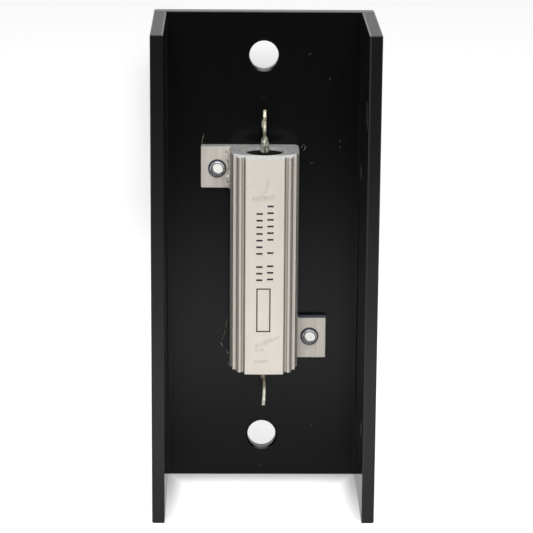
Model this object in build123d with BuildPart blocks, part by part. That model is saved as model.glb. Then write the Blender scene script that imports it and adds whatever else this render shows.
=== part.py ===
from build123d import *
import os

# A wirewound resistor in a ribbed aluminium housing, screwed into a black aluminium channel
# that carries its heat away. Millimetres. The channel stands on its lower cut end at Z = 0.
# Its web is at the back, towards +Y, and its open side faces -Y. X = 0 and Y = 0 are the
# middle of its width and of its depth.

os.makedirs("parts", exist_ok=True)

# ---- Driving dimensions ----

# Channel
channel_width = 49.5
channel_depth = 35.0
channel_height = 110.0
flange_thickness = 2.8
web_thickness = 2.8
outer_corner_radius = 0.5
inner_corner_radius = 0.3
saw_edge_break = 0.2

# Holes in the web by which the channel is fixed
mounting_hole_diameter = 6.6
mounting_hole_from_end = 10.0
mounting_hole_edge_break = 0.4

# Place of the housing's centre on the web
housing_x = 0.2
housing_z = 54.55
compound_thickness = 0.1
compound_inset = 0.3

# Housing: a ribbed section over a flat base
housing_length = 50.0
housing_width = 15.5
housing_height = 15.6
top_flat_width = 8.9
top_crown = 0.15
top_edge_radius = 0.3
inner_rib_width = 1.05
inner_rib_height = 14.1
flute_width = 0.6
flute_depth = 0.25
flute_drop = 0.4
rib_flank_width = 0.65
rib_flank_drop = 1.6
outer_rib_height = 11.7
outer_rib_half_width = 7.05
groove_width = 0.2
groove_depth = 0.7
shoulder_height = 10.0
shoulder_drop = 1.6
base_corner_radius = 1.6
housing_end_break = 0.1

# Lugs: one at the upper left, one at the lower right
lug_span = 28.8
lug_length = 9.65
lug_thickness = 2.2
lug_root_radius = 1.5
lug_corner_radius = 0.3
foot_inset = 0.6
screw_from_lug_edge = 3.7
screw_from_end = 5.15

# Bore and what fills it
bore_diameter = 9.2
bore_height = 7.2
fit_gap = 0.02
moulding_recess = 0.8
collar_radius = 1.7
collar_drop = 0.05

# Resistance element
core_from_end = 5.0
core_diameter = 5.4
cap_depth = 5.0
cap_wall = 0.4
cap_plate = 0.6
ribbon_width = 0.8
ribbon_thickness = 0.15
winding_turns = 6

# Terminals: a round stem, pressed flat to a solder tab with an eye
stem_diameter = 1.8
upper_stem_reach = 3.15
lower_stem_reach = 2.45
stem_bevel = 0.4
tab_thickness = 0.75
tab_width = 3.2
tab_overlap = 0.8
tab_neck_width = 1.3
tab_flare_length = 1.6
eye_diameter = 1.5
upper_tab_reach = 9.4
lower_tab_reach = 10.0
lower_tab_root_x = 0.4
lower_tab_middle_x = 0.35
lower_tab_tip_x = 0.05

# Drop of solder left on the upper tab
solder_reach = 5.9
solder_diameter = 2.0
solder_height = 0.22

# Countersunk screws, driven from the back of the web into the lugs
screw_diameter = 3.85
screw_length = 6.0
screw_clearance = 0.25
thread_gap = 0.025
head_diameter = 7.5
head_land = 0.25
head_recess = 0.1
tip_flat_diameter = 2.6
drive_arm = 4.2
drive_arm_width = 0.9
drive_depth = 1.4
drive_taper = 8

# ---- Places worked out from the sizes ----

web_back_y = channel_depth / 2
web_front_y = web_back_y - web_thickness
seat_y = web_front_y - compound_thickness
bore_y = seat_y - bore_height
half_length = housing_length / 2
lug_reach = lug_span / 2
screw_offset_x = lug_reach - screw_from_lug_edge
screw_offset_z = half_length - screw_from_end

# Local X is right and local Y is up on these planes, and they face the open side
web_front = Plane(origin=(0, web_front_y, 0), x_dir=(1, 0, 0), z_dir=(0, -1, 0))
seat = Plane(origin=(housing_x, seat_y, housing_z), x_dir=(1, 0, 0), z_dir=(0, -1, 0))
bore_plane = Plane(origin=(housing_x, bore_y, housing_z), x_dir=(1, 0, 0), z_dir=(0, -1, 0))

# Local X is right and local Y is the height above the seat: the section's plane at the upper end
housing_top = Plane(
    origin=(housing_x, seat_y, housing_z + half_length), x_dir=(1, 0, 0), z_dir=(0, 0, -1)
)
bore_axis = Axis((housing_x, bore_y, housing_z), (0, 0, 1))

# The screws stand at the upper left and the lower right of the housing's centre
screw_places = {
    "upper": (housing_x - screw_offset_x, housing_z + screw_offset_z),
    "lower": (housing_x + screw_offset_x, housing_z - screw_offset_z),
}

# ---- Channel ----

clearance_hole_radius = screw_diameter / 2 + screw_clearance
countersink_radius = head_diameter / 2 + head_recess + head_land + fit_gap
hole_heights = (mounting_hole_from_end, channel_height - mounting_hole_from_end)

with BuildPart() as heat_sink_channel:
    with BuildSketch(Plane.XY) as channel_section:
        Rectangle(channel_width, channel_depth)
        fillet(channel_section.vertices(), outer_corner_radius)
        with Locations((0, -web_thickness)):
            Rectangle(channel_width - 2 * flange_thickness, channel_depth, mode=Mode.SUBTRACT)
        trough_corners = channel_section.vertices().filter_by_position(
            Axis.X, -channel_width / 2 + flange_thickness, channel_width / 2 - flange_thickness
        )
        fillet(trough_corners.group_by(Axis.Y)[-1], inner_corner_radius)
        fillet(trough_corners.group_by(Axis.Y)[0], outer_corner_radius)
    extrude(amount=channel_height)
    for end in (0, -1):
        chamfer(
            heat_sink_channel.faces().sort_by(Axis.Z)[end].outer_wire().edges(), saw_edge_break
        )
    # The mounting holes, their edges broken on both faces of the web
    with BuildSketch(web_front):
        with Locations(*[(0, height) for height in hole_heights]):
            Circle(mounting_hole_diameter / 2)
    extrude(amount=-web_thickness, mode=Mode.SUBTRACT)
    hole_rims = heat_sink_channel.edges().filter_by(GeomType.CIRCLE)
    chamfer(
        hole_rims.filter_by(lambda rim: abs(rim.radius - mounting_hole_diameter / 2) < 0.001),
        mounting_hole_edge_break,
    )
    # The countersunk holes, cut from the back
    for screw_x, screw_z in screw_places.values():
        back_face = Plane(
            origin=(screw_x, web_back_y, screw_z), x_dir=(-1, 0, 0), z_dir=(0, 1, 0)
        )
        with Locations(back_face):
            CounterSinkHole(
                radius=clearance_hole_radius,
                counter_sink_radius=countersink_radius,
                depth=web_thickness,
                counter_sink_angle=90,
            )

heat_sink_channel.part.label = "heat_sink_channel"
export_step(heat_sink_channel.part, "parts/heat_sink_channel.step")

# ---- Plan of the foot: the strip under the housing and its two lugs ----

lug_centre_x = lug_reach / 2
lug_centre_z = half_length - lug_length / 2
foot_width = housing_width - 2 * foot_inset

with BuildSketch(seat) as foot_plan:
    Rectangle(foot_width, housing_length)
    with Locations((-lug_centre_x, lug_centre_z), (lug_centre_x, -lug_centre_z)):
        Rectangle(lug_reach, lug_length)
    roots = [
        corner
        for corner in foot_plan.vertices()
        if abs(abs(corner.X) - foot_width / 2) < 0.001 and abs(corner.Y) < half_length - 0.001
    ]
    fillet(roots, lug_root_radius)
    fillet(
        [corner for corner in foot_plan.vertices() if abs(corner.X) > lug_reach - 0.001],
        lug_corner_radius,
    )

# ---- Housing ----

top_half = top_flat_width / 2
ridge_start = top_half + groove_width
ridge_end = ridge_start + inner_rib_width
flute_start_height = inner_rib_height - flute_drop
flute_end = ridge_start + flute_width
flank_end = ridge_end + rib_flank_width
shoulder_start = outer_rib_half_width + groove_width
housing_half = housing_width / 2

with BuildPart() as resistor_housing:
    with BuildSketch(housing_top) as housing_section:
        with BuildLine():
            base = Line((0, 0), (housing_half - base_corner_radius, 0))
            corner = RadiusArc(
                base @ 1, (housing_half, base_corner_radius), -base_corner_radius
            )
            side = Line(corner @ 1, (housing_half, shoulder_height - shoulder_drop))
            shoulder = TangentArc(
                side @ 1, (shoulder_start, shoulder_height), tangent=(0, 1)
            )
            outer_groove = Polyline(
                shoulder @ 1,
                (shoulder_start, shoulder_height - groove_depth),
                (outer_rib_half_width, shoulder_height - groove_depth),
                (outer_rib_half_width, outer_rib_height),
                (flank_end, outer_rib_height),
                (flank_end, inner_rib_height - rib_flank_drop),
            )
            flank = TangentArc(
                outer_groove @ 1, (ridge_end, inner_rib_height), tangent=(0, 1)
            )
            ridge = Line(flank @ 1, (flute_end, inner_rib_height))
            # The flute sinks flute_depth below the middle of its chord, which falls by flute_drop
            flute = ThreePointArc(
                ridge @ 1,
                (
                    (flute_end + ridge_start) / 2,
                    (inner_rib_height + flute_start_height) / 2 - flute_depth,
                ),
                (ridge_start, flute_start_height),
            )
            inner_groove = Polyline(
                flute @ 1,
                (ridge_start, flute_start_height - groove_depth),
                (top_half, flute_start_height - groove_depth),
                (top_half, housing_height - top_crown),
            )
            mirror(about=Plane.YZ)
            ThreePointArc(
                (top_half, housing_height - top_crown),
                (0, housing_height),
                (-top_half, housing_height - top_crown),
            )
        make_face()
        top_corners = [
            vertex
            for vertex in housing_section.vertices()
            if vertex.Y > housing_height - top_crown - 0.001
        ]
        fillet(top_corners, top_edge_radius)
    extrude(amount=housing_length)
    extrude(foot_plan.sketch, amount=lug_thickness)
    for end in (0, -1):
        chamfer(
            resistor_housing.faces().sort_by(Axis.Z)[end].outer_wire().edges(),
            housing_end_break,
        )
    with BuildSketch(housing_top):
        with Locations((0, bore_height)):
            Circle(bore_diameter / 2)
    extrude(amount=housing_length, mode=Mode.SUBTRACT)
    # The tapped holes of the lugs, at the diameter of the thread's root
    with BuildSketch(web_front):
        with Locations(*screw_places.values()):
            Circle(screw_diameter / 2 + thread_gap)
    extrude(amount=compound_thickness + lug_thickness, mode=Mode.SUBTRACT)

resistor_housing.part.label = "resistor_housing"
export_step(resistor_housing.part, "parts/resistor_housing.step")

# ---- Film of heat-conducting compound between the housing and the web ----

with BuildPart() as thermal_compound:
    with BuildSketch(seat):
        add(foot_plan.sketch_local)
        offset(amount=-compound_inset, kind=Kind.INTERSECTION)
    extrude(amount=-compound_thickness)
    with BuildSketch(web_front):
        with Locations(*screw_places.values()):
            Circle(clearance_hole_radius)
    extrude(amount=compound_thickness, mode=Mode.SUBTRACT)

thermal_compound.part.label = "thermal_compound"
export_step(thermal_compound.part, "parts/thermal_compound.step")

# ---- Ceramic core ----

core_length = housing_length - 2 * core_from_end

with BuildPart() as ceramic_core:
    with BuildSketch(Plane(bore_axis.position - Vector(0, 0, core_length / 2))):
        Circle(core_diameter / 2)
    extrude(amount=core_length)

ceramic_core.part.label = "ceramic_core"
export_step(ceramic_core.part, "parts/ceramic_core.step")

# ---- Winding: one flat ribbon wound round the core between the rims of the caps ----

cap_rim_z = core_length / 2 + cap_plate - cap_depth
winding_radius = core_diameter / 2 + ribbon_thickness / 2 + fit_gap
winding_height = 2 * (cap_rim_z - ribbon_width / 2 - fit_gap)

with BuildPart() as resistance_winding:
    with BuildLine() as ribbon_path:
        Helix(
            pitch=winding_height / winding_turns,
            height=winding_height,
            radius=winding_radius,
            center=bore_axis.position - Vector(0, 0, winding_height / 2),
        )
    ribbon_start = Plane(
        origin=ribbon_path.line @ 0, x_dir=(1, 0, 0), z_dir=ribbon_path.line % 0
    )
    with BuildSketch(ribbon_start):
        Rectangle(ribbon_thickness, ribbon_width)
    sweep(is_frenet=True)

resistance_winding.part.label = "resistance_winding"
export_step(resistance_winding.part, "parts/resistance_winding.step")

# ---- Moulding: fills the bore round the element, sunk at its ends, drawn up round the stems ----

cap_radius = core_diameter / 2 + fit_gap + cap_wall
cap_face_z = core_length / 2 + cap_plate
cap_pocket_radius = cap_radius + fit_gap
winding_pocket_radius = winding_radius + ribbon_thickness / 2 + fit_gap
moulding_radius = bore_diameter / 2 - fit_gap
stem_hole_radius = stem_diameter / 2 + fit_gap

with BuildPart() as moulding:
    with BuildSketch(bore_plane):
        with BuildLine():
            Polyline(
                (moulding_radius, 0),
                (moulding_radius, half_length - moulding_recess),
                (collar_radius, half_length - moulding_recess),
                (stem_hole_radius, half_length - collar_drop),
                (stem_hole_radius, cap_face_z + fit_gap),
                (cap_pocket_radius, cap_face_z + fit_gap),
                (cap_pocket_radius, cap_rim_z - fit_gap),
                (winding_pocket_radius, cap_rim_z - fit_gap),
                (winding_pocket_radius, 0),
            )
            mirror(about=Plane.XZ)
        make_face()
    revolve(axis=bore_axis)

moulding.part.label = "moulding"
export_step(moulding.part, "parts/moulding.step")

# ---- Caps and terminals, the same at both ends ----

stem_reaches = {"upper": upper_stem_reach, "lower": lower_stem_reach}
tab_reaches = {"upper": upper_tab_reach, "lower": lower_tab_reach}
tab_bends = {
    "upper": (0, 0, 0),
    "lower": (lower_tab_root_x, lower_tab_middle_x, lower_tab_tip_x),
}

for place, outward in (("upper", 1), ("lower", -1)):
    # Local X is right and local Y points out of the housing, from its end face
    end_centre = (housing_x, bore_y, housing_z + outward * half_length)
    front_view = Plane(origin=end_centre, x_dir=(1, 0, 0), z_dir=(0, -outward, 0))
    side_view = Plane(origin=end_centre, x_dir=(0, 1, 0), z_dir=(outward, 0, 0))
    inward = cap_face_z - half_length

    with BuildPart() as end_cap:
        with BuildSketch(front_view):
            with BuildLine():
                Polyline(
                    (0, inward),
                    (cap_radius, inward),
                    (cap_radius, inward - cap_depth),
                    (cap_radius - cap_wall, inward - cap_depth),
                    (cap_radius - cap_wall, inward - cap_plate),
                    (0, inward - cap_plate),
                    close=True,
                )
            make_face()
        revolve(axis=bore_axis)

    end_cap.part.label = f"end_cap_{place}"
    export_step(end_cap.part, f"parts/end_cap_{place}.step")

    stem_reach = stem_reaches[place]
    tab_start = stem_reach - tab_overlap
    tip = tab_reaches[place]
    root_x, middle_x, tip_x = tab_bends[place]
    eye_centre = (0, tip - tab_width / 2)

    with BuildPart() as terminal:
        # The tab's strip, seen edge-on, with the bend that it took
        with BuildSketch(front_view):
            with BuildLine():
                Spline(
                    (root_x, tab_start),
                    (middle_x, (stem_reach + tip) / 2),
                    (tip_x, tip),
                    tangents=((0, 1), (tip_x - middle_x, tab_width)),
                )
            trace(line_width=tab_thickness)
        extrude(amount=tab_width, both=True)
        # Its outline, seen flat: it widens from the stem to a full-round end with an eye
        with BuildSketch(side_view):
            with BuildLine():
                neck = Polyline(
                    (0, tab_start),
                    (tab_neck_width / 2, tab_start),
                    (tab_neck_width / 2, stem_reach),
                    (tab_width / 2, stem_reach + tab_flare_length),
                    (tab_width / 2, tip - tab_width / 2),
                )
                RadiusArc(neck @ 1, (0, tip), -tab_width / 2)
                mirror(about=Plane.YZ)
            make_face()
            with Locations(eye_centre):
                Circle(eye_diameter / 2, mode=Mode.SUBTRACT)
        extrude(amount=tab_width, both=True, mode=Mode.INTERSECT)
        with BuildSketch(front_view):
            with BuildLine():
                Polyline(
                    (0, inward),
                    (stem_diameter / 2, inward),
                    (stem_diameter / 2, stem_reach - stem_bevel),
                    (stem_diameter / 2 - stem_bevel, stem_reach),
                    (0, stem_reach),
                    close=True,
                )
            make_face()
        revolve(axis=bore_axis)

    terminal.part.label = f"terminal_{place}"
    export_step(terminal.part, f"parts/terminal_{place}.step")

# ---- Drop of solder on the left face of the upper tab ----

drop_seat = Plane(
    origin=(housing_x - tab_thickness / 2, bore_y, housing_z + half_length + solder_reach),
    x_dir=(-1, 0, 0),
    z_dir=(0, 1, 0),
)

with BuildPart() as solder_remnant:
    with BuildSketch(drop_seat):
        with BuildLine():
            face = Line((0, 0), (0, solder_diameter / 2))
            dome = TangentArc((solder_height, 0), face @ 1, tangent=(0, 1))
            Line((0, 0), (solder_height, 0))
        make_face()
    revolve(axis=Axis(drop_seat.origin, (1, 0, 0)))

solder_remnant.part.label = "solder_remnant"
export_step(solder_remnant.part, "parts/solder_remnant.step")

# ---- Screws ----

for place, (screw_x, screw_z) in screw_places.items():
    # Local Y is the depth from the web's back face
    screw_plane = Plane(
        origin=(screw_x, web_back_y, screw_z), x_dir=(1, 0, 0), z_dir=(0, 0, -1)
    )
    tip_depth = head_recess + screw_length
    cone_start = head_recess + head_land
    cone_height = (head_diameter - screw_diameter) / 2
    tip_bevel = (screw_diameter - tip_flat_diameter) / 2

    with BuildPart() as screw:
        with BuildSketch(screw_plane):
            with BuildLine():
                Polyline(
                    (0, head_recess),
                    (head_diameter / 2, head_recess),
                    (head_diameter / 2, cone_start),
                    (screw_diameter / 2, cone_start + cone_height),
                    (screw_diameter / 2, tip_depth - tip_bevel),
                    (tip_flat_diameter / 2, tip_depth),
                    (0, tip_depth),
                    close=True,
                )
            make_face()
        revolve(axis=Axis((screw_x, 0, screw_z), (0, 1, 0)))
        # The cross recess of the head
        head_face = Plane(
            origin=(screw_x, web_back_y - head_recess, screw_z),
            x_dir=(1, 0, 0),
            z_dir=(0, -1, 0),
        )
        with BuildSketch(head_face):
            Rectangle(drive_arm, drive_arm_width)
            Rectangle(drive_arm_width, drive_arm)
        extrude(amount=drive_depth, taper=drive_taper, mode=Mode.SUBTRACT)

    screw.part.label = f"screw_{place}"
    export_step(screw.part, f"parts/screw_{place}.step")
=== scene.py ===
import math

import bpy
import numpy as np
from mathutils import Matrix, Vector


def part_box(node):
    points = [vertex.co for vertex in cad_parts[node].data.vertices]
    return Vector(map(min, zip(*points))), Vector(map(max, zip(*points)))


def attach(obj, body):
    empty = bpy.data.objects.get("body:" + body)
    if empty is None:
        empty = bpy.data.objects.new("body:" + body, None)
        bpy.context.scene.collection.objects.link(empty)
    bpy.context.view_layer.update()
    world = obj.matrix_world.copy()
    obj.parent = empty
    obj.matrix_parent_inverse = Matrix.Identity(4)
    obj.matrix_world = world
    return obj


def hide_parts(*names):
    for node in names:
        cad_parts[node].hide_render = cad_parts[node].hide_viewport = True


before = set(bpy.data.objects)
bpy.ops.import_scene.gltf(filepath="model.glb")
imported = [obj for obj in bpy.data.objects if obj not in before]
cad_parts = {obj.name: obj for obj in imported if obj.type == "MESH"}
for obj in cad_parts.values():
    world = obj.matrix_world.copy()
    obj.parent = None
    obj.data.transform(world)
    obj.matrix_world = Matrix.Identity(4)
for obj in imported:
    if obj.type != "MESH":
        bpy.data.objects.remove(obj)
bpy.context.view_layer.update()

# ---- The view ----
# The channel stands upright with its open side towards us. A long lens looks down on it
# from a little left of its middle, from about half a metre away.

MM = 0.001

camera_place = Vector((-8.43, -527.39, 196.53)) * MM
camera_pitch, camera_yaw, camera_roll = map(math.radians, (-15.050, 0.986, 0.424))
ahead = Vector(
    (
        math.sin(camera_yaw) * math.cos(camera_pitch),
        math.cos(camera_yaw) * math.cos(camera_pitch),
        math.sin(camera_pitch),
    )
)
level = Vector((math.cos(camera_yaw), -math.sin(camera_yaw), 0))
raised = level.cross(ahead)
right = math.cos(camera_roll) * level + math.sin(camera_roll) * raised
upward = math.cos(camera_roll) * raised - math.sin(camera_roll) * level
lens = bpy.data.cameras.new("view")
lens.lens, lens.sensor_width, lens.clip_start = 164.46, 36.0, 0.01
camera = bpy.data.objects.new("view", lens)
camera.matrix_world = Matrix.Translation(camera_place) @ Matrix(
    (right, upward, -ahead)
).transposed().to_4x4()
bpy.context.scene.collection.objects.link(camera)
bpy.context.scene.camera = camera

# ---- Heat sink channel ----
# An extruded aluminium channel, sawn to length, drilled and then anodised black. The skin is
# satin and shows the die's faint lines along its length, and the sawn ends are duller and paler.


class Mixer:
    """A tree of shader nodes. Each method adds a node and gives back its output."""

    def __init__(self, owner):
        owner.use_nodes = True
        self.tree = owner.node_tree

    def put(self, socket, value):
        if isinstance(value, bpy.types.NodeSocket):
            self.tree.links.new(value, socket)
        else:
            socket.default_value = value

    def add(self, kind, inputs=None, **settings):
        node = self.tree.nodes.new(kind)
        for key, value in settings.items():
            setattr(node, key, value)
        for key, value in (inputs or {}).items():
            self.put(node.inputs[key], value)
        return node

    def maths(self, operation, first, *others):
        """The operation on the first value and each of the others in turn."""
        whole = first
        for other in others or (0.0,):
            whole = self.add("ShaderNodeMath", {0: whole, 1: other}, operation=operation).outputs[0]
        return whole

    def times(self, *factors):
        return self.maths("MULTIPLY", *factors)

    def plus(self, *parts):
        return self.maths("ADD", *parts)

    def less(self, whole, part):
        return self.maths("SUBTRACT", whole, part)

    def most(self, *masks):
        """The strongest of several masks."""
        return self.maths("MAXIMUM", *masks)

    def least(self, *values):
        """The smallest of several values."""
        return self.maths("MINIMUM", *values)

    def unsigned(self, value):
        return self.maths("ABSOLUTE", value)

    def grey(self, level):
        """A colour whose three channels are level."""
        channels = {"Red": level, "Green": level, "Blue": level}
        return self.add("ShaderNodeCombineColor", channels).outputs[0]

    def step(self, value, start, end):
        """0 before start and 1 after end, smooth between them."""
        return self.add(
            "ShaderNodeMapRange",
            {"Value": value, "From Min": start, "From Max": end},
            interpolation_type="SMOOTHSTEP",
        ).outputs["Result"]

    def between(self, share, a, b):
        """Number a, going over to number b where share is 1."""
        return self.add(
            "ShaderNodeMapRange", {"Value": share, "To Min": a, "To Max": b}
        ).outputs["Result"]


class Finish(Mixer):
    """A surface finish. Lengths are in millimetres, on the piece's own coordinates."""

    def __init__(self, name, roughness, metallic=0.0, specular=0.5):
        self.material = bpy.data.materials.new(name)
        super().__init__(self.material)
        self.shader = self.tree.nodes["Principled BSDF"]
        self.shader.inputs["Roughness"].default_value = roughness
        self.shader.inputs["Metallic"].default_value = metallic
        self.shader.inputs["Specular IOR Level"].default_value = specular
        own = self.add("ShaderNodeTexCoord").outputs["Object"]
        self.place = self.add(
            "ShaderNodeVectorMath", {"Vector": own, "Scale": 1 / MM}, operation="SCALE"
        ).outputs["Vector"]
        self.x, self.y, self.z = self.add(
            "ShaderNodeSeparateXYZ", {"Vector": self.place}
        ).outputs

    def grain(self, size, stretch=(1, 1, 1), detail=2.0, seed=0.0):
        """Noise from 0 to 1 whose patches are about size wide, longer along a stretched axis."""
        shrink = tuple(1 / (size * s) for s in stretch)
        shifted = self.add(
            "ShaderNodeMapping",
            {"Vector": self.place, "Scale": shrink, "Location": (seed, 2 * seed, 3 * seed)},
        )
        return self.add(
            "ShaderNodeTexNoise",
            {"Vector": shifted.outputs["Vector"], "Scale": 1.0, "Detail": detail},
        ).outputs["Fac"]

    def facing(self, axis):
        """How far the surface faces up (2), right (0) or back (1): 1 when square to that axis."""
        normal = self.add("ShaderNodeTexCoord").outputs["Normal"]
        return self.add("ShaderNodeSeparateXYZ", {"Vector": normal}).outputs[axis]

    def blend(self, share, a, b):
        """Colour a, going over to colour b where share is 1."""
        node = self.add("ShaderNodeMix", data_type="RGBA")
        for socket, value in ((node.inputs[0], share), (node.inputs[6], a), (node.inputs[7], b)):
            self.put(socket, value)
        return node.outputs[2]

    def stroke(self, start, end, width, ragged=0.0, soft=0.15):
        """1 on the straight stroke from start to end, fading out over its width. A ragged one has
        gaps, whose rims fade over soft."""
        way = tuple(e - s for s, e in zip(start, end))
        length = math.dist(start, end)
        from_start = self.add(
            "ShaderNodeVectorMath", {0: self.place, 1: start}, operation="SUBTRACT"
        ).outputs["Vector"]
        unit = tuple(w / length**2 for w in way)
        along = self.add(
            "ShaderNodeVectorMath", {0: from_start, 1: unit}, operation="DOT_PRODUCT"
        ).outputs["Value"]
        held = self.add("ShaderNodeClamp", {"Value": along}).outputs["Result"]
        foot = self.add(
            "ShaderNodeVectorMath", {0: way, "Scale": held}, operation="SCALE"
        ).outputs["Vector"]
        gap = self.add(
            "ShaderNodeVectorMath", {0: from_start, 1: foot}, operation="DISTANCE"
        ).outputs["Value"]
        shape = self.step(gap, width, 0.3 * width)
        if ragged:
            bits = self.step(self.grain(0.35, detail=1.0, seed=start[2]), ragged, ragged + soft)
            shape = self.times(shape, bits)
        return shape

    def band(self, value, low, high, soft=0.03):
        """1 where value lies between low and high, fading over soft at both."""
        rise = self.step(value, low - soft, low + soft)
        return self.times(rise, self.step(value, high + soft, high - soft))

    def apart(self, centre, axes):
        """The distance from centre, counted along the axes that are 1."""
        spot = tuple(c * a for c, a in zip(centre, axes))
        flat = self.add("ShaderNodeVectorMath", {0: self.place, 1: axes}, operation="MULTIPLY")
        return self.add(
            "ShaderNodeVectorMath", {0: flat.outputs["Vector"], 1: spot}, operation="DISTANCE"
        ).outputs["Value"]

    def colour(self, value):
        self.put(self.shader.inputs["Base Color"], value)

    def roughness(self, value):
        self.put(self.shader.inputs["Roughness"], value)

    def metallic(self, value):
        self.put(self.shader.inputs["Metallic"], value)

    def relief(self, height, depth):
        """Bumps whose full height is depth."""
        bump = self.add(
            "ShaderNodeBump", {"Height": height, "Strength": 1.0, "Distance": depth * MM}
        )
        self.put(self.shader.inputs["Normal"], bump.outputs["Normal"])

    def on(self, *nodes):
        """The finish goes on these CAD pieces."""
        for name in nodes:
            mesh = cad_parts[name].data
            mesh.materials.clear()
            mesh.materials.append(self.material)


channel_low, channel_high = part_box("heat_sink_channel")
wall = 2.8
trough_half = channel_high.x / MM - wall
web_y = channel_high.y / MM - wall
nose_y = channel_low.y / MM
channel_top = channel_high.z / MM

anodised = Finish("black_anodised", roughness=0.3, specular=0.25)
die_lines = anodised.grain(0.5, stretch=(1, 1, 160), detail=3)
clouds = anodised.grain(14, stretch=(1, 1, 2.5), detail=2, seed=4)
skin = anodised.blend(clouds, (0.0010, 0.0010, 0.0014, 1), (0.0020, 0.0020, 0.0026, 1))

# The sawn top is mottled, with the saw's lines across it. It has a painted highlight on the trough's
# arrises and is palest on the web
sawn = anodised.step(anodised.facing(2), 0.55, 0.85)
saw_lines = anodised.grain(0.22, stretch=(40, 1, 1), detail=3, seed=9)
mottle = anodised.step(anodised.grain(0.9, detail=4, seed=12), 0.30, 0.70)
cut = anodised.blend(mottle, (0.028, 0.028, 0.028, 1), (0.056, 0.056, 0.057, 1))
cut = anodised.blend(anodised.between(saw_lines, 0.0, 0.35), cut, (0.085, 0.085, 0.088, 1))
off_middle = anodised.unsigned(anodised.x)
# Painted highlight: the sawn top is paler along the trough's arrises, as lit edges
arris_highlight = anodised.band(off_middle, trough_half - 0.3, trough_half + 0.35, soft=0.12)
cut = anodised.blend(arris_highlight, cut, (0.12, 0.12, 0.125, 1))
on_web = anodised.step(anodised.y, web_y - 0.1, web_y + 0.1)
cut = anodised.blend(on_web, cut, (0.165, 0.164, 0.162, 1))

# Bare metal shows in a few scratches on the right flange, from one y and z to another
scratches = anodised.most(
    *(
        anodised.stroke((trough_half, y, z), (trough_half, end_y, end_z), width, ragged)
        for y, z, end_y, end_z, width, ragged in (
            (-10.2, 93.65, -11.6, 89.45, 1.7, 0.35),
            (8.4, 75.45, 7.9, 73.65, 1.3, 0.0),
            (-9.5, 20.45, -10.0, 18.85, 1.6, 0.0),
            (9.5, 15.75, -2.0, 13.75, 0.9, 0.52),
            (2.0, 13.25, -8.5, 11.45, 0.9, 0.50),
        )
    )
)
wear_and_painted_light = anodised.blend(scratches, anodised.blend(sawn, skin, cut), (0.62, 0.63, 0.65, 1))

# The flanges' front edges are painted a little paler as a sheen of the floor, more so towards the
# foot, and the right one's inner arris has a painted highlight
nose = anodised.step(anodised.y, nose_y + 0.6, nose_y + 0.05)
sheen_towards_foot = anodised.step(anodised.z, channel_top, 20)
nose_sheen = anodised.blend(sheen_towards_foot, (0.0050, 0.0050, 0.0058, 1), (0.018, 0.018, 0.019, 1))
right_arris_highlight = anodised.times(arris_highlight, anodised.step(anodised.x, 0, 1))
nose_sheen = anodised.blend(right_arris_highlight, nose_sheen, (0.024, 0.024, 0.026, 1))
wear_and_painted_light = anodised.blend(anodised.times(nose, anodised.less(1.0, sawn)), wear_and_painted_light, nose_sheen)

# The flanges' sides are glossier than the web, and painted greyer as a sheen, the left one's more so
side = anodised.step(anodised.unsigned(anodised.facing(0)), 0.6, 0.9)
right_half = anodised.step(anodised.x, -1, 1)
side_sheen = anodised.blend(right_half, (0.024, 0.024, 0.025, 1), (0.0165, 0.0165, 0.0173, 1))
wear_and_painted_light = anodised.blend(anodised.times(side, anodised.less(1.0, scratches)), wear_and_painted_light, side_sheen)

# Pale specks of dust lie on the web
specks = anodised.most(
    *(
        anodised.stroke((x, web_y, z), (x + dx, web_y, z + dz), 0.16)
        for x, z, dx, dz in (
            (10.1, 100.25, 0.5, 0.2),
            (14.9, 94.55, 0.1, 0.4),
            (10.9, 75.15, 0.3, 0.2),
            (17.4, 80.25, 0.05, 0.3),
            (17.4, 78.85, 0.1, 0.2),
            (-0.5, 2.45, 0.2, 0.1),
            (11.6, 12.15, 0.1, 0.2),
        )
    )
)
anodised.colour(anodised.blend(specks, wear_and_painted_light, (0.045, 0.045, 0.05, 1)))
rough = anodised.times(anodised.between(die_lines, 0.18, 0.25), anodised.between(side, 1.0, 0.5))
rough = anodised.most(rough, anodised.between(nose, 0.0, 0.28), anodised.between(sawn, 0.0, 0.5))
anodised.roughness(rough)
anodised.relief(die_lines, 0.004)
anodised.on("heat_sink_channel")

# ---- Resistor housing ----
# An extruded aluminium section, sawn off square, with lugs left standing at two corners of its
# foot. It is barrel-finished: pale, warm and matt, with the die's lines along the ribs.

housing_low, housing_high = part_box("resistor_housing")
housing_x = (housing_low.x + housing_high.x) / 2 / MM
housing_z = (housing_low.z + housing_high.z) / 2 / MM
half_length = (housing_high.z - housing_low.z) / 2 / MM
seat_y = housing_high.y / MM
crest_y = housing_low.y / MM
body_half, lug_length, lug_thick = 7.75, 9.65, 2.2
bore_radius, bore_height = 4.6, 7.2
bore_x, bore_y = housing_x, seat_y - bore_height
upper_lug_z = housing_z + half_length - lug_length
lower_lug_z = housing_z - half_length + lug_length

aluminium = Finish("barrelled_aluminium", roughness=0.5, metallic=0.45)
height = aluminium.less(seat_y, aluminium.y)
across = aluminium.less(aluminium.x, housing_x)
out = aluminium.unsigned(across)
draw_lines = aluminium.grain(0.35, stretch=(1, 1, 90), detail=3)
blotches = aluminium.grain(3.0, stretch=(1, 1, 2), detail=3, seed=2)
# Painted light: beside its random blotches, the body grows paler towards its foot, as if lit by the
# floor in front
lower = aluminium.step(aluminium.z, housing_z + 24, housing_z - 24)
blotches_and_floor_glow = aluminium.plus(aluminium.between(blotches, 0.0, 0.5), aluminium.between(lower, 0.0, 0.5))
body = aluminium.blend(blotches_and_floor_glow, (0.635, 0.592, 0.535, 1), (0.80, 0.747, 0.675, 1))
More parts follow.
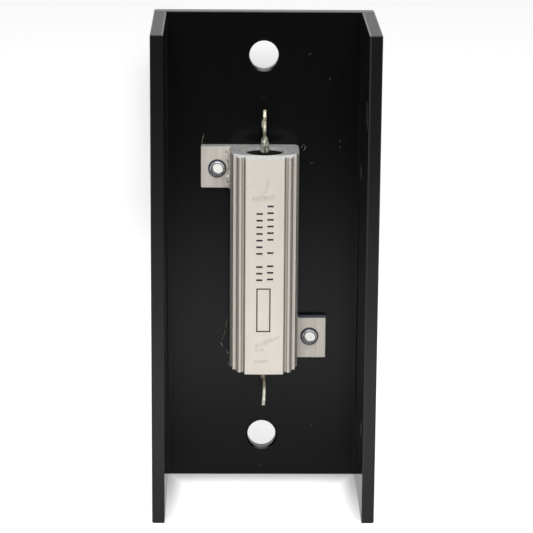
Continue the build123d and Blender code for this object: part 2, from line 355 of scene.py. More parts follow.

# Painted shade lies thinly on the ribs, and deeper in the slots, the shoulders' grooves, the flutes
# and on the sides. Each place has a share, and its distances out and its heights over the seat
on_ribs = aluminium.times(aluminium.step(out, 4.67, 4.75), aluminium.step(height, 2.4, 2.8))
rib_shade = [aluminium.times(on_ribs, 0.18)]
for share, inner, outer, base, top in (
    (0.62, 4.44, 4.67, 12.9, 15.1),
    (0.62, 7.04, 7.27, 9.2, 11.3),
    (0.36, 4.70, 5.25, 13.0, 14.2),
    (0.30, 7.28, 7.90, 2.4, 10.2),
):
    place = aluminium.times(aluminium.band(out, inner, outer), aluminium.band(height, base, top))
    rib_shade.append(aluminium.times(place, share))
body = aluminium.blend(aluminium.most(*rib_shade), body, (0.05, 0.047, 0.040, 1))

# The lugs are duller, with the die's lines showing
on_lug = aluminium.times(
    aluminium.step(out, body_half + 0.1, body_half + 0.25),
    aluminium.step(height, lug_thick + 0.3, lug_thick + 0.1),
)
dull = aluminium.times(on_lug, aluminium.between(draw_lines, 0.08, 0.56))
body = aluminium.blend(dull, body, (0.22, 0.21, 0.19, 1))

# The upper lug's root has a mottled band of painted shade in its corner, and one bright spot
by_root = aluminium.times(
    aluminium.step(across, -9.8, -8.0),
    aluminium.step(across, -7.5, -7.7),
    aluminium.step(aluminium.z, upper_lug_z + 0.05, upper_lug_z + 0.25),
)
root_shade_mottle = aluminium.step(aluminium.grain(0.45, stretch=(1, 1, 1.6), detail=3, seed=5), 0.50, 0.66)
body = aluminium.blend(aluminium.times(by_root, root_shade_mottle, 0.75), body, (0.06, 0.06, 0.055, 1))
from_bright_spot = aluminium.apart((housing_x - 8.3, 0, housing_z + 18.1), (1, 0, 1))
body = aluminium.blend(aluminium.step(from_bright_spot, 0.34, 0.24), body, (0.92, 0.92, 0.89, 1))


def smear(x, z, dx, dz, width, ragged, soft=0.15):
    """A stroke on the crest, from x and a height z over the housing's middle, by dx and dz."""
    start = (x, crest_y, housing_z + z)
    end = (x + dx, crest_y, housing_z + z + dz)
    return aluminium.stroke(start, end, width, ragged, soft)


# Olive rubs and two dark dots on the crest
rubs = aluminium.most(
    *(
        smear(*course, ragged=0.20, soft=0.55)
        for course in (
            (0.5, 18.0, 0.4, 2.3, 0.45),
            (-0.5, 16.4, 0.9, 1.5, 0.40),
            (-2.2, 15.9, 4.3, 0.4, 0.90),
            (-1.6, -18.3, 2.0, 0.9, 0.60),
            (0.4, -17.4, 1.5, 0.7, 0.75),
            (1.8, -16.8, 1.6, 0.6, 0.45),
            (-1.6, -19.3, 1.3, 0.3, 0.60),
            (-1.9, -21.9, 2.8, 0.1, 0.50),
        )
    )
)
dots = aluminium.most(
    smear(-3.8, 18.5, 0.05, -0.1, 0.2, ragged=0.0),
    smear(0.3, 16.2, 0.3, -0.2, 0.3, ragged=0.4),
)
body = aluminium.blend(aluminium.times(rubs, 0.42), body, (0.36, 0.33, 0.25, 1))
body = aluminium.blend(aluminium.times(dots, 0.6), body, (0.14, 0.13, 0.12, 1))


def screw_axis(place):
    """The x and z of the upper or lower screw's axis."""
    low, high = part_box(f"screw_{place}")
    return (low.x + high.x) / 2 / MM, (low.z + high.z) / 2 / MM


# A dark ring of painted shade stands round each screw, where it meets its tapped hole
for place in ("upper", "lower"):
    axis_x, axis_z = screw_axis(place)
    screw_gap_shade = aluminium.step(aluminium.apart((axis_x, 0, axis_z), (1, 0, 1)), 2.25, 2.0)
    share = aluminium.times(screw_gap_shade, on_lug, 0.92)
    body = aluminium.blend(share, body, (0.02, 0.02, 0.025, 1))

# The sawn ends are grey and pitted, and bright along the crest's end, out to the flanks
end_face = aluminium.step(aluminium.unsigned(aluminium.facing(2)), 0.45, 0.75)
pitting = aluminium.grain(0.35, detail=4, seed=7)
pits = aluminium.step(pitting, 0.36, 0.60)
sawn_end = aluminium.blend(pits, (0.185, 0.19, 0.183, 1), (0.33, 0.335, 0.325, 1))
brightened = aluminium.plus(
    height,
    aluminium.between(pitting, -0.5, 0.5),
    aluminium.between(aluminium.step(out, 4.5, 7.3), 0.0, 1.3),
)
by_crest = aluminium.times(aluminium.step(brightened, 11.2, 11.7), end_face)
flecks = aluminium.step(pitting, 0.38, 0.58)
bright_end = aluminium.blend(flecks, (0.55, 0.555, 0.545, 1), (0.76, 0.765, 0.75, 1))
square_on = aluminium.step(aluminium.facing(2), 0.90, 0.99)
bright_end = aluminium.blend(square_on, (0.48, 0.48, 0.465, 1), bright_end)
sawn_end = aluminium.blend(by_crest, sawn_end, bright_end)
# The lower lug's upper face is painted dark, as shade
lower_lug_top_shade = aluminium.band(aluminium.z, lower_lug_z - 0.35, lower_lug_z + 0.35, soft=0.1)
sawn_end = aluminium.blend(lower_lug_top_shade, sawn_end, (0.075, 0.08, 0.10, 1))
shell = aluminium.blend(end_face, body, sawn_end)
# The bore and its rim are paler
bore_pits = aluminium.step(pitting, 0.30, 0.50)
bored = aluminium.blend(bore_pits, (0.40, 0.41, 0.40, 1), (0.72, 0.72, 0.71, 1))
from_bore = aluminium.apart((bore_x, bore_y, 0), (1, 1, 0))
in_bore = aluminium.step(from_bore, bore_radius + 0.15, bore_radius + 0.05)
aluminium.colour(aluminium.blend(in_bore, shell, bored))
matt = aluminium.most(on_lug, end_face)
aluminium.metallic(aluminium.between(matt, 0.45, 0.10))
rough = aluminium.between(draw_lines, 0.44, 0.58)
aluminium.roughness(aluminium.most(rough, aluminium.between(end_face, 0.0, 0.8)))
aluminium.relief(draw_lines, 0.012)
aluminium.on("resistor_housing")

# ---- Ink on the housing ----
# A pad-printed marking along the crest. Here it is a generic pattern of plain bars and a frame,
# which says nothing. The ink is a thin film that follows the slight crown of the face.


def mesh_piece(name, points, faces, finish, smooth=True):
    """A piece from an array of points in millimetres and an array of faces, carried by the root."""
    mesh = bpy.data.meshes.new(name)
    mesh.from_pydata((np.asarray(points, float) * MM).tolist(), [], faces)
    mesh.polygons.foreach_set("use_smooth", [smooth] * len(mesh.polygons))
    mesh.materials.append(finish.material)
    mesh.validate()
    piece = bpy.data.objects.new(name, mesh)
    bpy.context.scene.collection.objects.link(piece)
    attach(piece, "root")
    return piece


crest_half, crest_crown = 4.45, 0.15
crown_radius = (crest_half**2 + crest_crown**2) / (2 * crest_crown)
ink_thickness = 0.012
film_columns = 5


def ink_film(x_low, x_high, z_low, z_high):
    """A bar of ink: its points and quads, on the arc of radius crown_radius across the crest."""
    x = np.linspace(x_low, x_high, film_columns)
    arc = crest_y + crown_radius - np.sqrt(crown_radius**2 - (x - housing_x) ** 2)
    edges = ((z_low, 0.0), (z_low, ink_thickness), (z_high, ink_thickness), (z_high, 0.0))
    rim = [(x, arc - lift, np.full_like(x, z)) for z, lift in edges]
    points = np.array(rim).transpose(0, 2, 1).reshape(-1, 3)
    row, column = np.meshgrid(np.arange(4), np.arange(film_columns - 1), indexing="ij")
    a = (row * film_columns + column).ravel()
    b = ((row + 1) % 4 * film_columns + column).ravel()
    quads = np.stack([a, a + 1, b + 1, b], 1).tolist()
    starts = np.arange(4) * film_columns
    left_end, right_end = starts.tolist(), (starts + film_columns - 1)[::-1].tolist()
    return points, quads + [left_end, right_end]


# Two rows of bars run up the crest, each with its x, its lowest and highest z over the housing's
# middle and its gaps, and below them stands the frame
bar_length, bar_width, bar_pitch = 1.4, 0.42, 1.53
films = []
for row_x, start_z, end_z, gaps in ((-0.98, -3.0, 13.8, (3,)), (1.45, -2.8, 14.5, (3, 5))):
    for count in range(int((end_z - start_z) / bar_pitch) + 1):
        if count not in gaps:
            z = housing_z + start_z + count * bar_pitch
            films.append((row_x - bar_length / 2, row_x + bar_length / 2, z, z + bar_width))
frame_half, frame_line = 1.6, 0.28
frame_inner = frame_half - frame_line
frame_low_z, frame_high_z = housing_z - 14.9, housing_z - 4.7
films += [
    (-frame_half, -frame_inner, frame_low_z, frame_high_z),
    (frame_inner, frame_half, frame_low_z, frame_high_z),
    (-frame_inner, frame_inner, frame_low_z, frame_low_z + frame_line),
    (-frame_inner, frame_inner, frame_high_z - frame_line, frame_high_z),
]
ink_points, ink_faces = [], []
for count, film in enumerate(films):
    points, faces = ink_film(*film)
    first = count * len(points)
    ink_points.append(points)
    ink_faces += [[first + corner for corner in face] for face in faces]
ink = Finish("ink", roughness=0.6, specular=0.3)
wear = ink.step(ink.grain(0.25, detail=3, seed=6), 0.52, 0.72)
ink.colour(ink.blend(wear, (0.012, 0.011, 0.013, 1), (0.12, 0.115, 0.11, 1)))
ink_points = np.concatenate(ink_points)
mesh_piece("printed_marks", ink_points, ink_faces, ink, smooth=False)

# ---- Moulding ----
# Black silicone cement, poured round the element and sunk a little at both ends of the bore. It
# has crept up each stem as it set.


def turned(profile, axis, centre, count=96):
    """A closed surface of revolution: its points and faces. The profile's (radius, along) points go
    round the axis, x, y or z by number, through centre, count times in a turn: the other two
    places are the radius times the cosine and the sine of the turn."""
    radius, along = np.array(profile, float).T
    turn = np.linspace(0, 2 * np.pi, count, endpoint=False)
    points = np.zeros((len(radius), count, 3))
    points[..., (axis + 1) % 3] = np.outer(radius, np.cos(turn))
    points[..., (axis + 2) % 3] = np.outer(radius, np.sin(turn))
    points[..., axis] = along[:, None]
    return points + np.array(centre), band_faces(len(radius), count)


def band_faces(rows, columns):
    """Quads of a grid whose columns close on themselves, with one flat face on each open end."""
    row, column = np.meshgrid(np.arange(rows - 1), np.arange(columns), indexing="ij")
    a = (row * columns + column).ravel()
    b = (row * columns + (column + 1) % columns).ravel()
    quads = np.stack([a, b, b + columns, a + columns], 1).tolist()
    return [list(range(columns))[::-1]] + quads + [list(range((rows - 1) * columns, rows * columns))]


cement = Finish("black_silicone", roughness=0.75, specular=0.03)
skin_grain = cement.grain(0.6, detail=3)
cement.colour(cement.blend(skin_grain, (0.003, 0.003, 0.003, 1), (0.012, 0.012, 0.011, 1)))
cement.relief(cement.grain(0.5, detail=3, seed=3), 0.04)
cement_radius, rim_rise, stem_radius, sunk = bore_radius - 0.02, 0.08, 0.92, 0.8
climb = np.linspace(0, 1, 14)
face_edge = cement_radius - 0.12
end_radius = face_edge - (face_edge - stem_radius) * climb
# The sunk face stays level, then climbs the stem as the sixth power of the way in
end_height = half_length - sunk + (sunk - 0.06) * climb**6
rim = [(cement_radius, half_length - sunk + rim_rise)]
upper_end = rim + list(zip(end_radius, end_height))
profile = [(radius, -along) for radius, along in upper_end[::-1]] + upper_end
points, faces = turned(profile, 2, (bore_x, bore_y, housing_z))
moulding = mesh_piece("moulding_body", points.reshape(-1, 3), faces, cement)
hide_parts("moulding")

# ---- Terminals ----
# Each is a tinned steel stem, pressed flat into a tab with an eye. A joint was unsoldered from
# them, so an uneven coat of solder and browned flux is left on both.


def ripple(points, size, depth, seed):
    """Smooth lumps: the product of sines along three tilted ways, size long, with depth."""
    rng = np.random.default_rng(seed)
    ways = rng.normal(size=(3, 3))
    ways /= np.linalg.norm(ways, axis=1)[:, None]
    waves = np.sin(points @ ways.T * (2 * np.pi / size) + rng.uniform(0, 6, 3))
    return depth * waves.prod(axis=1)


def shell_normals(grid):
    """The outward direction at each point of a grid that closes on itself in both ways."""
    across = np.roll(grid, -1, 1) - np.roll(grid, 1, 1)
    along = np.roll(grid, -1, 0) - np.roll(grid, 1, 0)
    normal = np.cross(across, along)
    return normal / np.maximum(np.linalg.norm(normal, axis=2, keepdims=True), 1e-9)


tab_half, tab_thick, eye_radius = 1.6, 0.70, 0.75
tab_overlap, flare, neck_half = 0.8, 1.6, 0.65
steps_round_eye, steps_round_edge = 120, 44


def tab_shell(stem_reach, reach):
    """The tab as a ring round its eye, which closes both ways: round the eye by an angle, and over
    the tab's rounded section from the eye's rim to the outline and back. The outline's distance
    from the eye is found along each angle on the straight sides and the full-round end."""
    eye_z, tab_start = reach - tab_half, stem_reach - tab_overlap
    turn = np.linspace(0, 2 * np.pi, steps_round_eye, endpoint=False)
    side, up = np.sin(turn), np.cos(turn)
    corners = (
        (tab_half, 0.0),
        (tab_half, stem_reach + flare - eye_z),
        (neck_half, stem_reach - eye_z),
        (neck_half, tab_start - eye_z),
        (0.0, tab_start - eye_z),
    )
    outline = np.full_like(turn, tab_half)
    for (s0, u0), (s1, u1) in zip(corners[:-1], corners[1:]):
        ds, du = s1 - s0, u1 - u0
        cross = np.abs(side) * du - up * ds
        reach_out = (s0 * du - u0 * ds) / np.where(np.abs(cross) < 1e-9, 1e-9, cross)
        share = (np.abs(side) * reach_out - s0) * ds + (up * reach_out - u0) * du
        share /= ds**2 + du**2
        hit = (up <= 1e-6) & (share >= -1e-6) & (share <= 1 + 1e-6) & (reach_out > 0)
        outline = np.where(hit, reach_out, outline)
    section = np.linspace(0, 2 * np.pi, steps_round_edge, endpoint=False)
    # A rounded-rectangle section: the power of 0.3 flattens the faces and rounds the edges
    wide = -np.sign(np.cos(section)) * np.abs(np.cos(section)) ** 0.3
    thick = np.sign(np.sin(section)) * np.abs(np.sin(section)) ** 0.3 * tab_thick / 2
    middle = (outline + eye_radius) / 2
    half = (outline - eye_radius) / 2
    distance = middle[:, None] + half[:, None] * wide[None, :]
    grid = np.zeros((len(turn), len(section), 3))
    grid[..., 0] = thick[None, :]
    grid[..., 1] = distance * side[:, None]
    grid[..., 2] = eye_z + distance * up[:, None]
    return grid


def ring_faces(rows, columns):
    """Quads of a grid that closes on itself in both ways."""
    row, column = np.meshgrid(np.arange(rows), np.arange(columns), indexing="ij")
    a = row * columns + column
    b = row * columns + (column + 1) % columns
    c = (row + 1) % rows * columns + (column + 1) % columns
    d = (row + 1) % rows * columns + column
    return np.stack([a, b, c, d], -1).reshape(-1, 4).tolist()


tinned = Finish("tinned_metal", roughness=0.38, metallic=0.45)
lumps = tinned.grain(0.5, stretch=(1, 1, 1.6), detail=4)
flux = tinned.grain(1.6, stretch=(1, 1, 1.5), detail=3, seed=8)
housing_top, housing_foot = housing_z + half_length, housing_z - half_length
# The upper tab is bright over straw-coloured hollows, and its stem is grey
hollows = tinned.step(lumps, 0.35, 0.65)
coat = tinned.blend(hollows, (0.30, 0.28, 0.20, 1), (0.72, 0.68, 0.56, 1))
stem_hollows = tinned.step(lumps, 0.40, 0.62)
grey_stem = tinned.blend(stem_hollows, (0.12, 0.12, 0.085, 1), (0.62, 0.62, 0.54, 1))
on_stem = tinned.times(
    tinned.step(tinned.z, housing_top + 3.6, housing_top + 2.6),
    tinned.step(tinned.z, housing_z, housing_z + 1),
)
coat = tinned.blend(on_stem, coat, grey_stem)
# The lower tab is cream, painted paler as light where the housing shades it from the lamps, and
# browned by flux towards its stem
below = tinned.step(tinned.z, housing_z, housing_z - 1)
cream_hollows = tinned.step(lumps, 0.30, 0.55)
cream_and_painted_light = tinned.blend(cream_hollows, (0.55, 0.52, 0.42, 1), (0.97, 0.94, 0.82, 1))
coat = tinned.blend(below, coat, cream_and_painted_light)
browned = tinned.step(flux, 0.42, 0.6)
brown = tinned.blend(browned, (0.30, 0.25, 0.15, 1), (0.84, 0.79, 0.64, 1))
low_stem = tinned.step(tinned.z, housing_foot - 6.2, housing_foot - 4.4)
coat = tinned.blend(tinned.times(low_stem, below), coat, brown)
# A coppery spot is left by the upper tab's tip
spot_x = housing_x - 0.45
spot = tinned.stroke((spot_x, bore_y, housing_top + 9.3), (spot_x, bore_y, housing_top + 8.3), 0.75)
tinned.colour(tinned.blend(spot, coat, (0.62, 0.30, 0.10, 1)))
tinned.relief(lumps, 0.05)

# Each terminal: its name, which way it points, how far the stem and the tab reach, the tab's place
# across at its root, middle and tip, how far the stem runs on into the tab, the stem's radius at
# four places, and the seed of its lumps
stem_buried, steps_up_stem, steps_round_stem = 4.4, 60, 48
for name, outward, stem_reach, reach, bend, run_on, stem_shape, seed in (
    ("upper", 1, 3.15, 9.4, (-0.05, -0.08, -0.08), 0.1, (0.94, 1.0, 0.72, 0.50), 5),
    ("lower", -1, 2.45, 10.0, (0.15, 0.22, 0.05), 1.1, (0.90, 0.92, 0.78, 0.44), 11),
):
    tab = tab_shell(stem_reach, reach)
    tab_points = tab.reshape(-1, 3)
    push = ripple(tab_points, 1.1, 0.06, seed) + ripple(tab_points, 0.5, 0.035, seed + 1)
    tab += shell_normals(tab) * push.reshape(tab.shape[:2] + (1,))
    # The bend: a parabola through the places of the tab's root, middle and tip
    root_x, middle_x, tip_x = bend
    tab_start = stem_reach - tab_overlap
    way = np.clip((tab[..., 2] - tab_start) / (reach - tab_start), 0, 1)
    slope, curl = 4 * middle_x - 3 * root_x - tip_x, 2 * (root_x + tip_x - 2 * middle_x)
    tab[..., 0] += root_x + slope * way + curl * way**2
    # The stem is coated with lumps where it stands out of the moulding
    stem_end = stem_reach + run_on
    stem_length = np.linspace(-stem_buried, stem_end, steps_up_stem)
    shape_at = (-stem_buried, stem_reach - 1.9, stem_reach - 0.3, stem_end)
    stem_wide = np.interp(stem_length, shape_at, stem_shape)
    profile = list(zip(stem_wide, stem_length))
    stem, stem_faces = turned(profile, 2, (0, 0, 0), steps_round_stem)
    coating = ripple(stem.reshape(-1, 3), 0.75, 0.13, seed + 2).reshape(stem.shape[:2])
    coating *= np.clip((stem_length - 0.1) / 0.5, 0, 1)[:, None]
    stem[..., :2] *= (1 + coating / 0.9)[..., None]
    points = np.concatenate([tab.reshape(-1, 3), stem.reshape(-1, 3)])
    points[:, 2] = housing_z + outward * (half_length + points[:, 2])
    points[:, :2] += (bore_x, bore_y)
    first = len(tab_points)
    stem_faces = [[first + corner for corner in face] for face in stem_faces]
    faces = ring_faces(*tab.shape[:2]) + stem_faces
    terminal = mesh_piece(f"solder_tab_{name}", points, faces, tinned)
    one_skin = terminal.modifiers.new("one_skin", "REMESH")
    one_skin.mode, one_skin.voxel_size, one_skin.use_smooth_shade = "VOXEL", 0.05 * MM, True
    wetted = terminal.modifiers.new("wetted", "SMOOTH")
    wetted.factor, wetted.iterations = 0.5, 4
    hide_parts(f"terminal_{name}")

# A lump of solder is left on the upper tab's left face: a flat dome, its height the root of the
# cosine across it, pushed in and out by the same ripple
solder = Finish("solder", roughness=0.4, metallic=0.45)
dross = solder.grain(0.4, detail=4, seed=2)
solder.colour(solder.blend(dross, (0.30, 0.27, 0.18, 1), (0.72, 0.68, 0.56, 1)))
solder.relief(dross, 0.05)
lump_radius, lump_height, lump_place = 1.05, 0.40, 6.1
dome = [(0.02, 0.05)]
for angle in np.linspace(np.pi / 2, 0, 16):
    dome.append((lump_radius * max(np.sin(angle), 0.02), -lump_height * np.sqrt(np.cos(angle))))
drop, faces = turned(dome, 0, (0, 0, 0), 40)
drop += ripple(drop.reshape(-1, 3), 1.3, 0.10, 3).reshape(drop.shape[:2])[..., None]
drop += (housing_x - tab_thick / 2 - 0.02, bore_y, housing_top + lump_place)
remnant = mesh_piece("solder_lump", drop.reshape(-1, 3), faces, solder)
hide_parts("solder_remnant")

# ---- Screws ----
# Zinc-plated steel countersunk screws with a cross recess. They are driven from the back of the
# web, and their flat points stand a millimetre out of the lugs' tapped holes.

zinc = Finish("zinc_steel", roughness=0.3, metallic=0.5)
plating = zinc.grain(0.6, detail=3)
plated = zinc.blend(plating, (0.66, 0.67, 0.69, 1), (0.84, 0.85, 0.86, 1))
# The flat point is a painted bright reflection, broken by dark patches and a crescent of painted
# shade; its bevel has a painted ring of light, and the thread round it is painted dark as shade
near, crescent_centres = [], []
for place in ("upper", "lower"):
    axis_x, axis_z = screw_axis(place)
    near.append(zinc.apart((axis_x, 0, axis_z), (1, 0, 1)))
    crescent_centres.append(zinc.apart((axis_x + 0.25, 0, axis_z + 0.40), (1, 0, 1)))
from_axis = zinc.least(*near)
point_noise = zinc.grain(0.8, detail=2, seed=3)
reflection_patches = zinc.step(point_noise, 0.28, 0.40)
point_reflection = zinc.blend(reflection_patches, (0.20, 0.20, 0.19, 1), (0.92, 0.91, 0.86, 1))
off_crescent = zinc.plus(zinc.least(*crescent_centres), zinc.between(point_noise, -0.30, 0.30))
crescent_shade = zinc.step(off_crescent, 1.20, 1.32)
point_reflection = zinc.blend(zinc.times(crescent_shade, 0.85), point_reflection, (0.07, 0.07, 0.08, 1))
streaks = zinc.step(point_noise, 0.40, 0.60)
bevel_highlight = zinc.blend(streaks, (0.30, 0.32, 0.36, 1), (0.66, 0.69, 0.74, 1))
# Painted highlight on the bevel, and painted shade in the thread round it
bevel = zinc.band(from_axis, 1.46, 1.70, soft=0.06)
painted_point = zinc.blend(bevel, (0.03, 0.03, 0.04, 1), bevel_highlight)
flat = zinc.step(zinc.plus(from_axis, zinc.between(point_noise, -0.15, 0.15)), 1.34, 1.24)
painted_point = zinc.blend(flat, painted_point, point_reflection)
in_front = zinc.step(zinc.y, web_y - 1.2, web_y - 1.6)
zinc.colour(zinc.blend(in_front, plated, painted_point))
zinc.metallic(zinc.between(in_front, 0.5, 0.1))
zinc.roughness(zinc.between(plating, 0.24, 0.38))
zinc.relief(zinc.grain(0.7, detail=3, seed=5), 0.02)

head_radius, shank_radius, point_radius = 3.75, 1.925, 1.32
rim_height, rim_round = 0.25, 0.07
thread_pitch, thread_depth, thread_run_in = 0.7, 0.36, 0.8
drive_half, arm_half, drive_depth = 2.1, 0.45, 1.4
steps_round_screw = 144
turn = np.linspace(0, 2 * np.pi, steps_round_screw, endpoint=False)
for place in ("upper", "lower"):
    low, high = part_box(f"screw_{place}")
    head_y, tip_y = high.y / MM, low.y / MM
    cone_y = head_y - rim_height - (head_radius - shank_radius)
    shank = np.linspace(cone_y, tip_y + shank_radius - point_radius, 90)
    # From the middle of the head, over its rim and cone, down the thread to the flat point
    face_radius = np.linspace(0.02, head_radius - 0.08, 46)
    profile = [(radius, head_y) for radius in face_radius]
    profile += [(head_radius, head_y - rim_round), (head_radius, head_y - rim_height)]
    first = len(profile)
    profile += [(shank_radius, y) for y in shank]
    last = len(profile)
    point = np.linspace(0, 1, 8)[1:]
    point_width = shank_radius + (point_radius - shank_radius) * point
    profile += list(zip(point_width, shank[-1] + (tip_y - shank[-1]) * point))
    profile += [(radius, tip_y) for radius in (1.25, 0.9, 0.5, 0.02)]
    grid, faces = turned(profile, 1, (0, 0, 0), steps_round_screw)
    # The thread: the radius falls by a triangle wave of the height less the turn's share of a pitch
    phase = (grid[first:last, :, 1] / thread_pitch - turn[None, :] / (2 * np.pi)) % 1
    groove = thread_depth * np.clip(1.25 * (1 - np.abs(2 * phase - 1)) - 0.15, 0, 1)
    fade = np.clip((shank[0] - shank) / thread_run_in, 0, 1)[:, None]
    scale = 1 - groove * fade / shank_radius
    grid[first:last, :, 0] *= scale
    grid[first:last, :, 2] *= scale
    # The cross recess: two arms sink into the head, with sides about a tenth of a millimetre wide
    face = grid[: len(face_radius)]
    u, v = np.abs(face[..., 0]), np.abs(face[..., 2])
    long, short = np.maximum(u, v), np.minimum(u, v)
    in_arm = np.clip((arm_half - short) / 0.12 + 0.5, 0, 1)
    face[..., 1] -= drive_depth * in_arm * np.clip((drive_half - long) / 0.4, 0, 1)
    axis_x, axis_z = screw_axis(place)
    points = grid.reshape(-1, 3) + (axis_x, 0, axis_z)
    screw = mesh_piece(f"fixing_screw_{place}", points, faces, zinc)
    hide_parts(f"screw_{place}")

# ---- Element inside the moulding ----
# A ceramic rod with a nickel-chromium ribbon round it and a pressed steel cap on each end.

ceramic = Finish("ceramic", roughness=0.7)
bisque = ceramic.grain(0.4, detail=3)
ceramic.colour(ceramic.blend(bisque, (0.78, 0.76, 0.70, 1), (0.86, 0.84, 0.79, 1)))
ceramic.on("ceramic_core")
ribbon = Finish("resistance_ribbon", roughness=0.35, metallic=1.0)
tarnish = ribbon.grain(0.5, detail=3)
ribbon.colour(ribbon.blend(tarnish, (0.38, 0.35, 0.32, 1), (0.52, 0.49, 0.45, 1)))
ribbon.on("resistance_winding")
pressed = Finish("cap_steel", roughness=0.3, metallic=1.0)
rub = pressed.grain(0.8, detail=3)
pressed.colour(pressed.blend(rub, (0.62, 0.61, 0.58, 1), (0.74, 0.73, 0.70, 1)))
pressed.on("end_cap_upper", "end_cap_lower")

# ---- Heat-conducting compound ----
# A thin white film between the housing's foot and the web. A little was squeezed out when the
# screws were tightened, and was wiped to faint, broken traces beside the housing.

compound = Finish("compound", roughness=0.6)
paste = compound.step(compound.grain(0.5, detail=3), 0.40, 0.60)
compound.colour(compound.blend(paste, (0.02, 0.02, 0.02, 1), (0.34, 0.335, 0.31, 1)))
compound.on("thermal_compound")


def smooth_through(values, mark):
    """Catmull-Rom interpolation: a cubic between neighbours with slopes from the points beside."""
    padded = np.concatenate([[2 * values[0] - values[1]], values, [2 * values[-1] - values[-2]]])
    low = np.minimum(mark.astype(int), len(values) - 2)
    t = mark - low
    a, b, c, d = (padded[low + k] for k in range(4))
    square = 2 * a - 5 * b + 4 * c - d
    cube = 3 * b - a - 3 * c + d
    return 0.5 * (2 * b + (c - a) * t + square * t**2 + cube * t**3)


steps_round_bead, steps_per_span = 10, 14


def bead(name, course, radius, finish, flatness=1.0):
    """A thin bead along a smooth course: circles of radius, flattened across Y by flatness, stand
    square to a spline through the course's points and shrink to nothing at both ends."""
    course = np.array(course, float)
    spans = len(course) - 1
    mark = np.linspace(0, spans, steps_per_span * spans + 1)
    line = np.stack([smooth_through(course[:, k], mark) for k in range(3)], 1)
    way = np.gradient(line, axis=0)
    way /= np.linalg.norm(way, axis=1)[:, None]
    side = np.cross(way, (0.0, -1.0, 0.0))
    side /= np.maximum(np.linalg.norm(side, axis=1)[:, None], 1e-6)
    lift = np.cross(side, way)
    turn = np.linspace(0, 2 * np.pi, steps_round_bead, endpoint=False)[None, :, None]
    ring = side[:, None] * np.cos(turn) + lift[:, None] * (flatness * np.sin(turn))
    taper = np.sqrt(np.clip(np.sin(np.pi * np.linspace(0.02, 0.98, len(line))), 0, 1))
    wide = radius * taper * (1 + 0.35 * np.sin(mark * 5.3))
    points = line[:, None] + wide[:, None, None] * ring
    faces = band_faces(len(line), steps_round_bead)
    return mesh_piece(name, points.reshape(-1, 3), faces, finish)


# Each trace has its course in x and z, and its radius
trace_y = web_y - 0.01
traces = (
    (((-7.9, 39.15), (-8.6, 35.35), (-9.4, 32.85)), 0.05),
    (((-9.6, 32.55), (-9.35, 31.85), (-9.0, 31.35)), 0.11),
    (((-8.4, 30.75), (-8.1, 30.15), (-7.8, 29.85)), 0.09),
    (((-8.0, 28.45), (-7.9, 27.55), (-7.7, 26.65)), 0.08),
    (((8.5, 78.55), (9.0, 79.45), (9.5, 79.25), (9.4, 78.35), (9.0, 78.05)), 0.035),
)
for count, (course, radius) in enumerate(traces):
    course = [(x, trace_y, z) for x, z in course]
    bead(f"compound_trace_{count + 1}", course, radius, compound, flatness=0.4)

# ---- Stray hair ----
# A loose brush hair has caught under the corner of the upper lug.

hair = Finish("hair", roughness=0.5)
hair.colour(hair.blend(hair.grain(0.5), (0.16, 0.15, 0.09, 1), (0.26, 0.25, 0.16, 1)))
hair_course = ((-14.0, 14.0, 79.65), (-13.9, 14.1, 80.55), (-13.5, 14.4, 82.15))
bead("stray_hair", hair_course, 0.05, hair)

# ---- Studio ----
# A white sheet under the object, a soft lamp overhead and a smaller one in front.

floor_half = 3.0
corners = [(-1, -1, 0), (1, -1, 0), (1, 1, 0), (-1, 1, 0)]
floor_mesh = bpy.data.meshes.new("floor")
floor_mesh.from_pydata((floor_half * np.array(corners)).tolist(), [], [(0, 1, 2, 3)])
floor = bpy.data.objects.new("floor", floor_mesh)
bpy.context.scene.collection.objects.link(floor)
paper = Finish("paper", roughness=0.9, specular=0.1)
rays = paper.add("ShaderNodeLightPath").outputs
direct = paper.most(rays["Is Camera Ray"], rays["Is Transmission Ray"])

# The black web mirrors the floor, so to every ray but the camera's the sheet has painted shade near
# the object, and it ends in front of it, on a dark table
sheet_tone, near_shade_tone, table_tone = 0.55, 0.34, 0.03
sheet_glow, near_shade_glow = 0.55, 0.29
open_sheet = paper.step(paper.y, -15, -90)
lit = paper.step(paper.y, -340, -90)
tone = paper.times(paper.between(open_sheet, near_shade_tone, sheet_tone), lit)
grey = paper.grey(paper.most(tone, table_tone))
mirror = paper.times(paper.between(open_sheet, near_shade_glow, sheet_glow), lit, rays["Is Glossy Ray"])

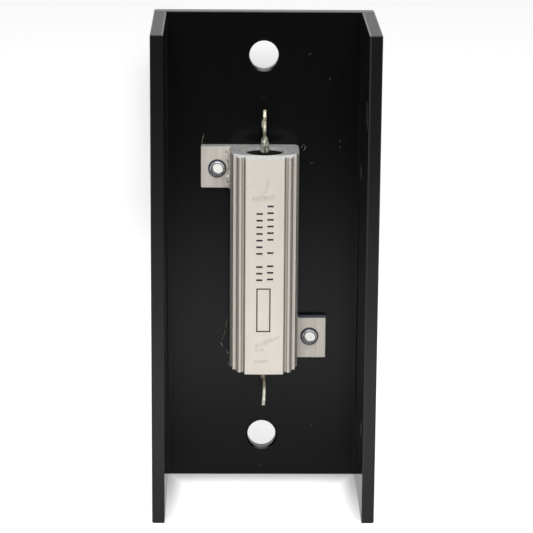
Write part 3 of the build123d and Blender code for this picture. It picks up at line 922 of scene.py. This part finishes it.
# To the camera it is white, but for soft shade in the corners between the flanges and the web
sheet_white, shade_white = 0.80, 0.50
beside = paper.less(trough_half, paper.unsigned(paper.x))
before = paper.less(web_y, paper.y)
inside = paper.times(
    paper.step(paper.least(beside, before), -1.0, -0.5),
    paper.step(paper.y, nose_y - 1.5, nose_y + 4.0),
)
deeper = paper.between(paper.step(paper.y, nose_y, web_y), 0.5, 1.0)
by_flanges = paper.times(paper.step(beside, 5.0, 0.0), deeper)
by_web = paper.between(paper.step(before, 9.0, 0.0), 0.0, 0.9)
shade = paper.times(paper.most(by_flanges, by_web), inside)
shown = paper.grey(paper.between(shade, sheet_white, shade_white))
paper.colour(paper.blend(rays["Is Camera Ray"], grey, shown))
# The object's long soft shadow lies far behind it
far_shade = paper.times(
    paper.step(paper.y, 120, 300),
    paper.step(paper.y, 640, 500),
    paper.step(paper.unsigned(paper.x), 60, 25),
)
white = paper.less(paper.between(shade, 0.62, 0.18), paper.between(far_shade, 0.0, 0.36))
paper.put(paper.shader.inputs["Emission Color"], (1, 1, 1, 1))
paper.put(paper.shader.inputs["Emission Strength"], paper.most(mirror, paper.times(white, direct)))
floor_mesh.materials.append(paper.material)

# The room is white to the camera. To other rays it is dim in front of the object and brighter
# behind it, most of all in mirror images
room = bpy.data.worlds.new("studio")
bpy.context.scene.world = room
sky = Mixer(room)
rays = sky.add("ShaderNodeLightPath").outputs
direction = sky.add("ShaderNodeTexCoord").outputs["Generated"]
behind = sky.step(sky.add("ShaderNodeSeparateXYZ", {"Vector": direction}).outputs[1], -0.35, 0.25)
soft = sky.between(behind, 0.05, 0.30)
mirrored = sky.between(behind, 0.02, 1.0)
strength = sky.between(rays["Is Glossy Ray"], soft, mirrored)
seen = sky.most(rays["Is Camera Ray"], rays["Is Transmission Ray"])
background = sky.tree.nodes["Background"]
sky.put(background.inputs["Color"], (1, 1, 1, 1))
sky.put(background.inputs["Strength"], sky.between(seen, strength, 1.0))


def lamp(name, place, target, size, power):
    """A square soft lamp at place, turned to target; lengths in metres, power in watts."""
    light = bpy.data.lights.new(name, "AREA")
    light.energy, light.size = power, size
    holder = bpy.data.objects.new(name, light)
    aim = Vector(target) - Vector(place)
    turn = aim.to_track_quat("-Z", "Y").to_matrix().to_4x4()
    holder.matrix_world = Matrix.Translation(place) @ turn
    bpy.context.scene.collection.objects.link(holder)


lamp("overhead", (0.02, -0.42, 0.72), (0, 0, 0.05), 0.70, 6.0)
lamp("front", (0.0, -0.80, 0.50), (0, 0, 0.05), 0.50, 5.0)

bpy.context.scene.view_settings.view_transform = "Standard"
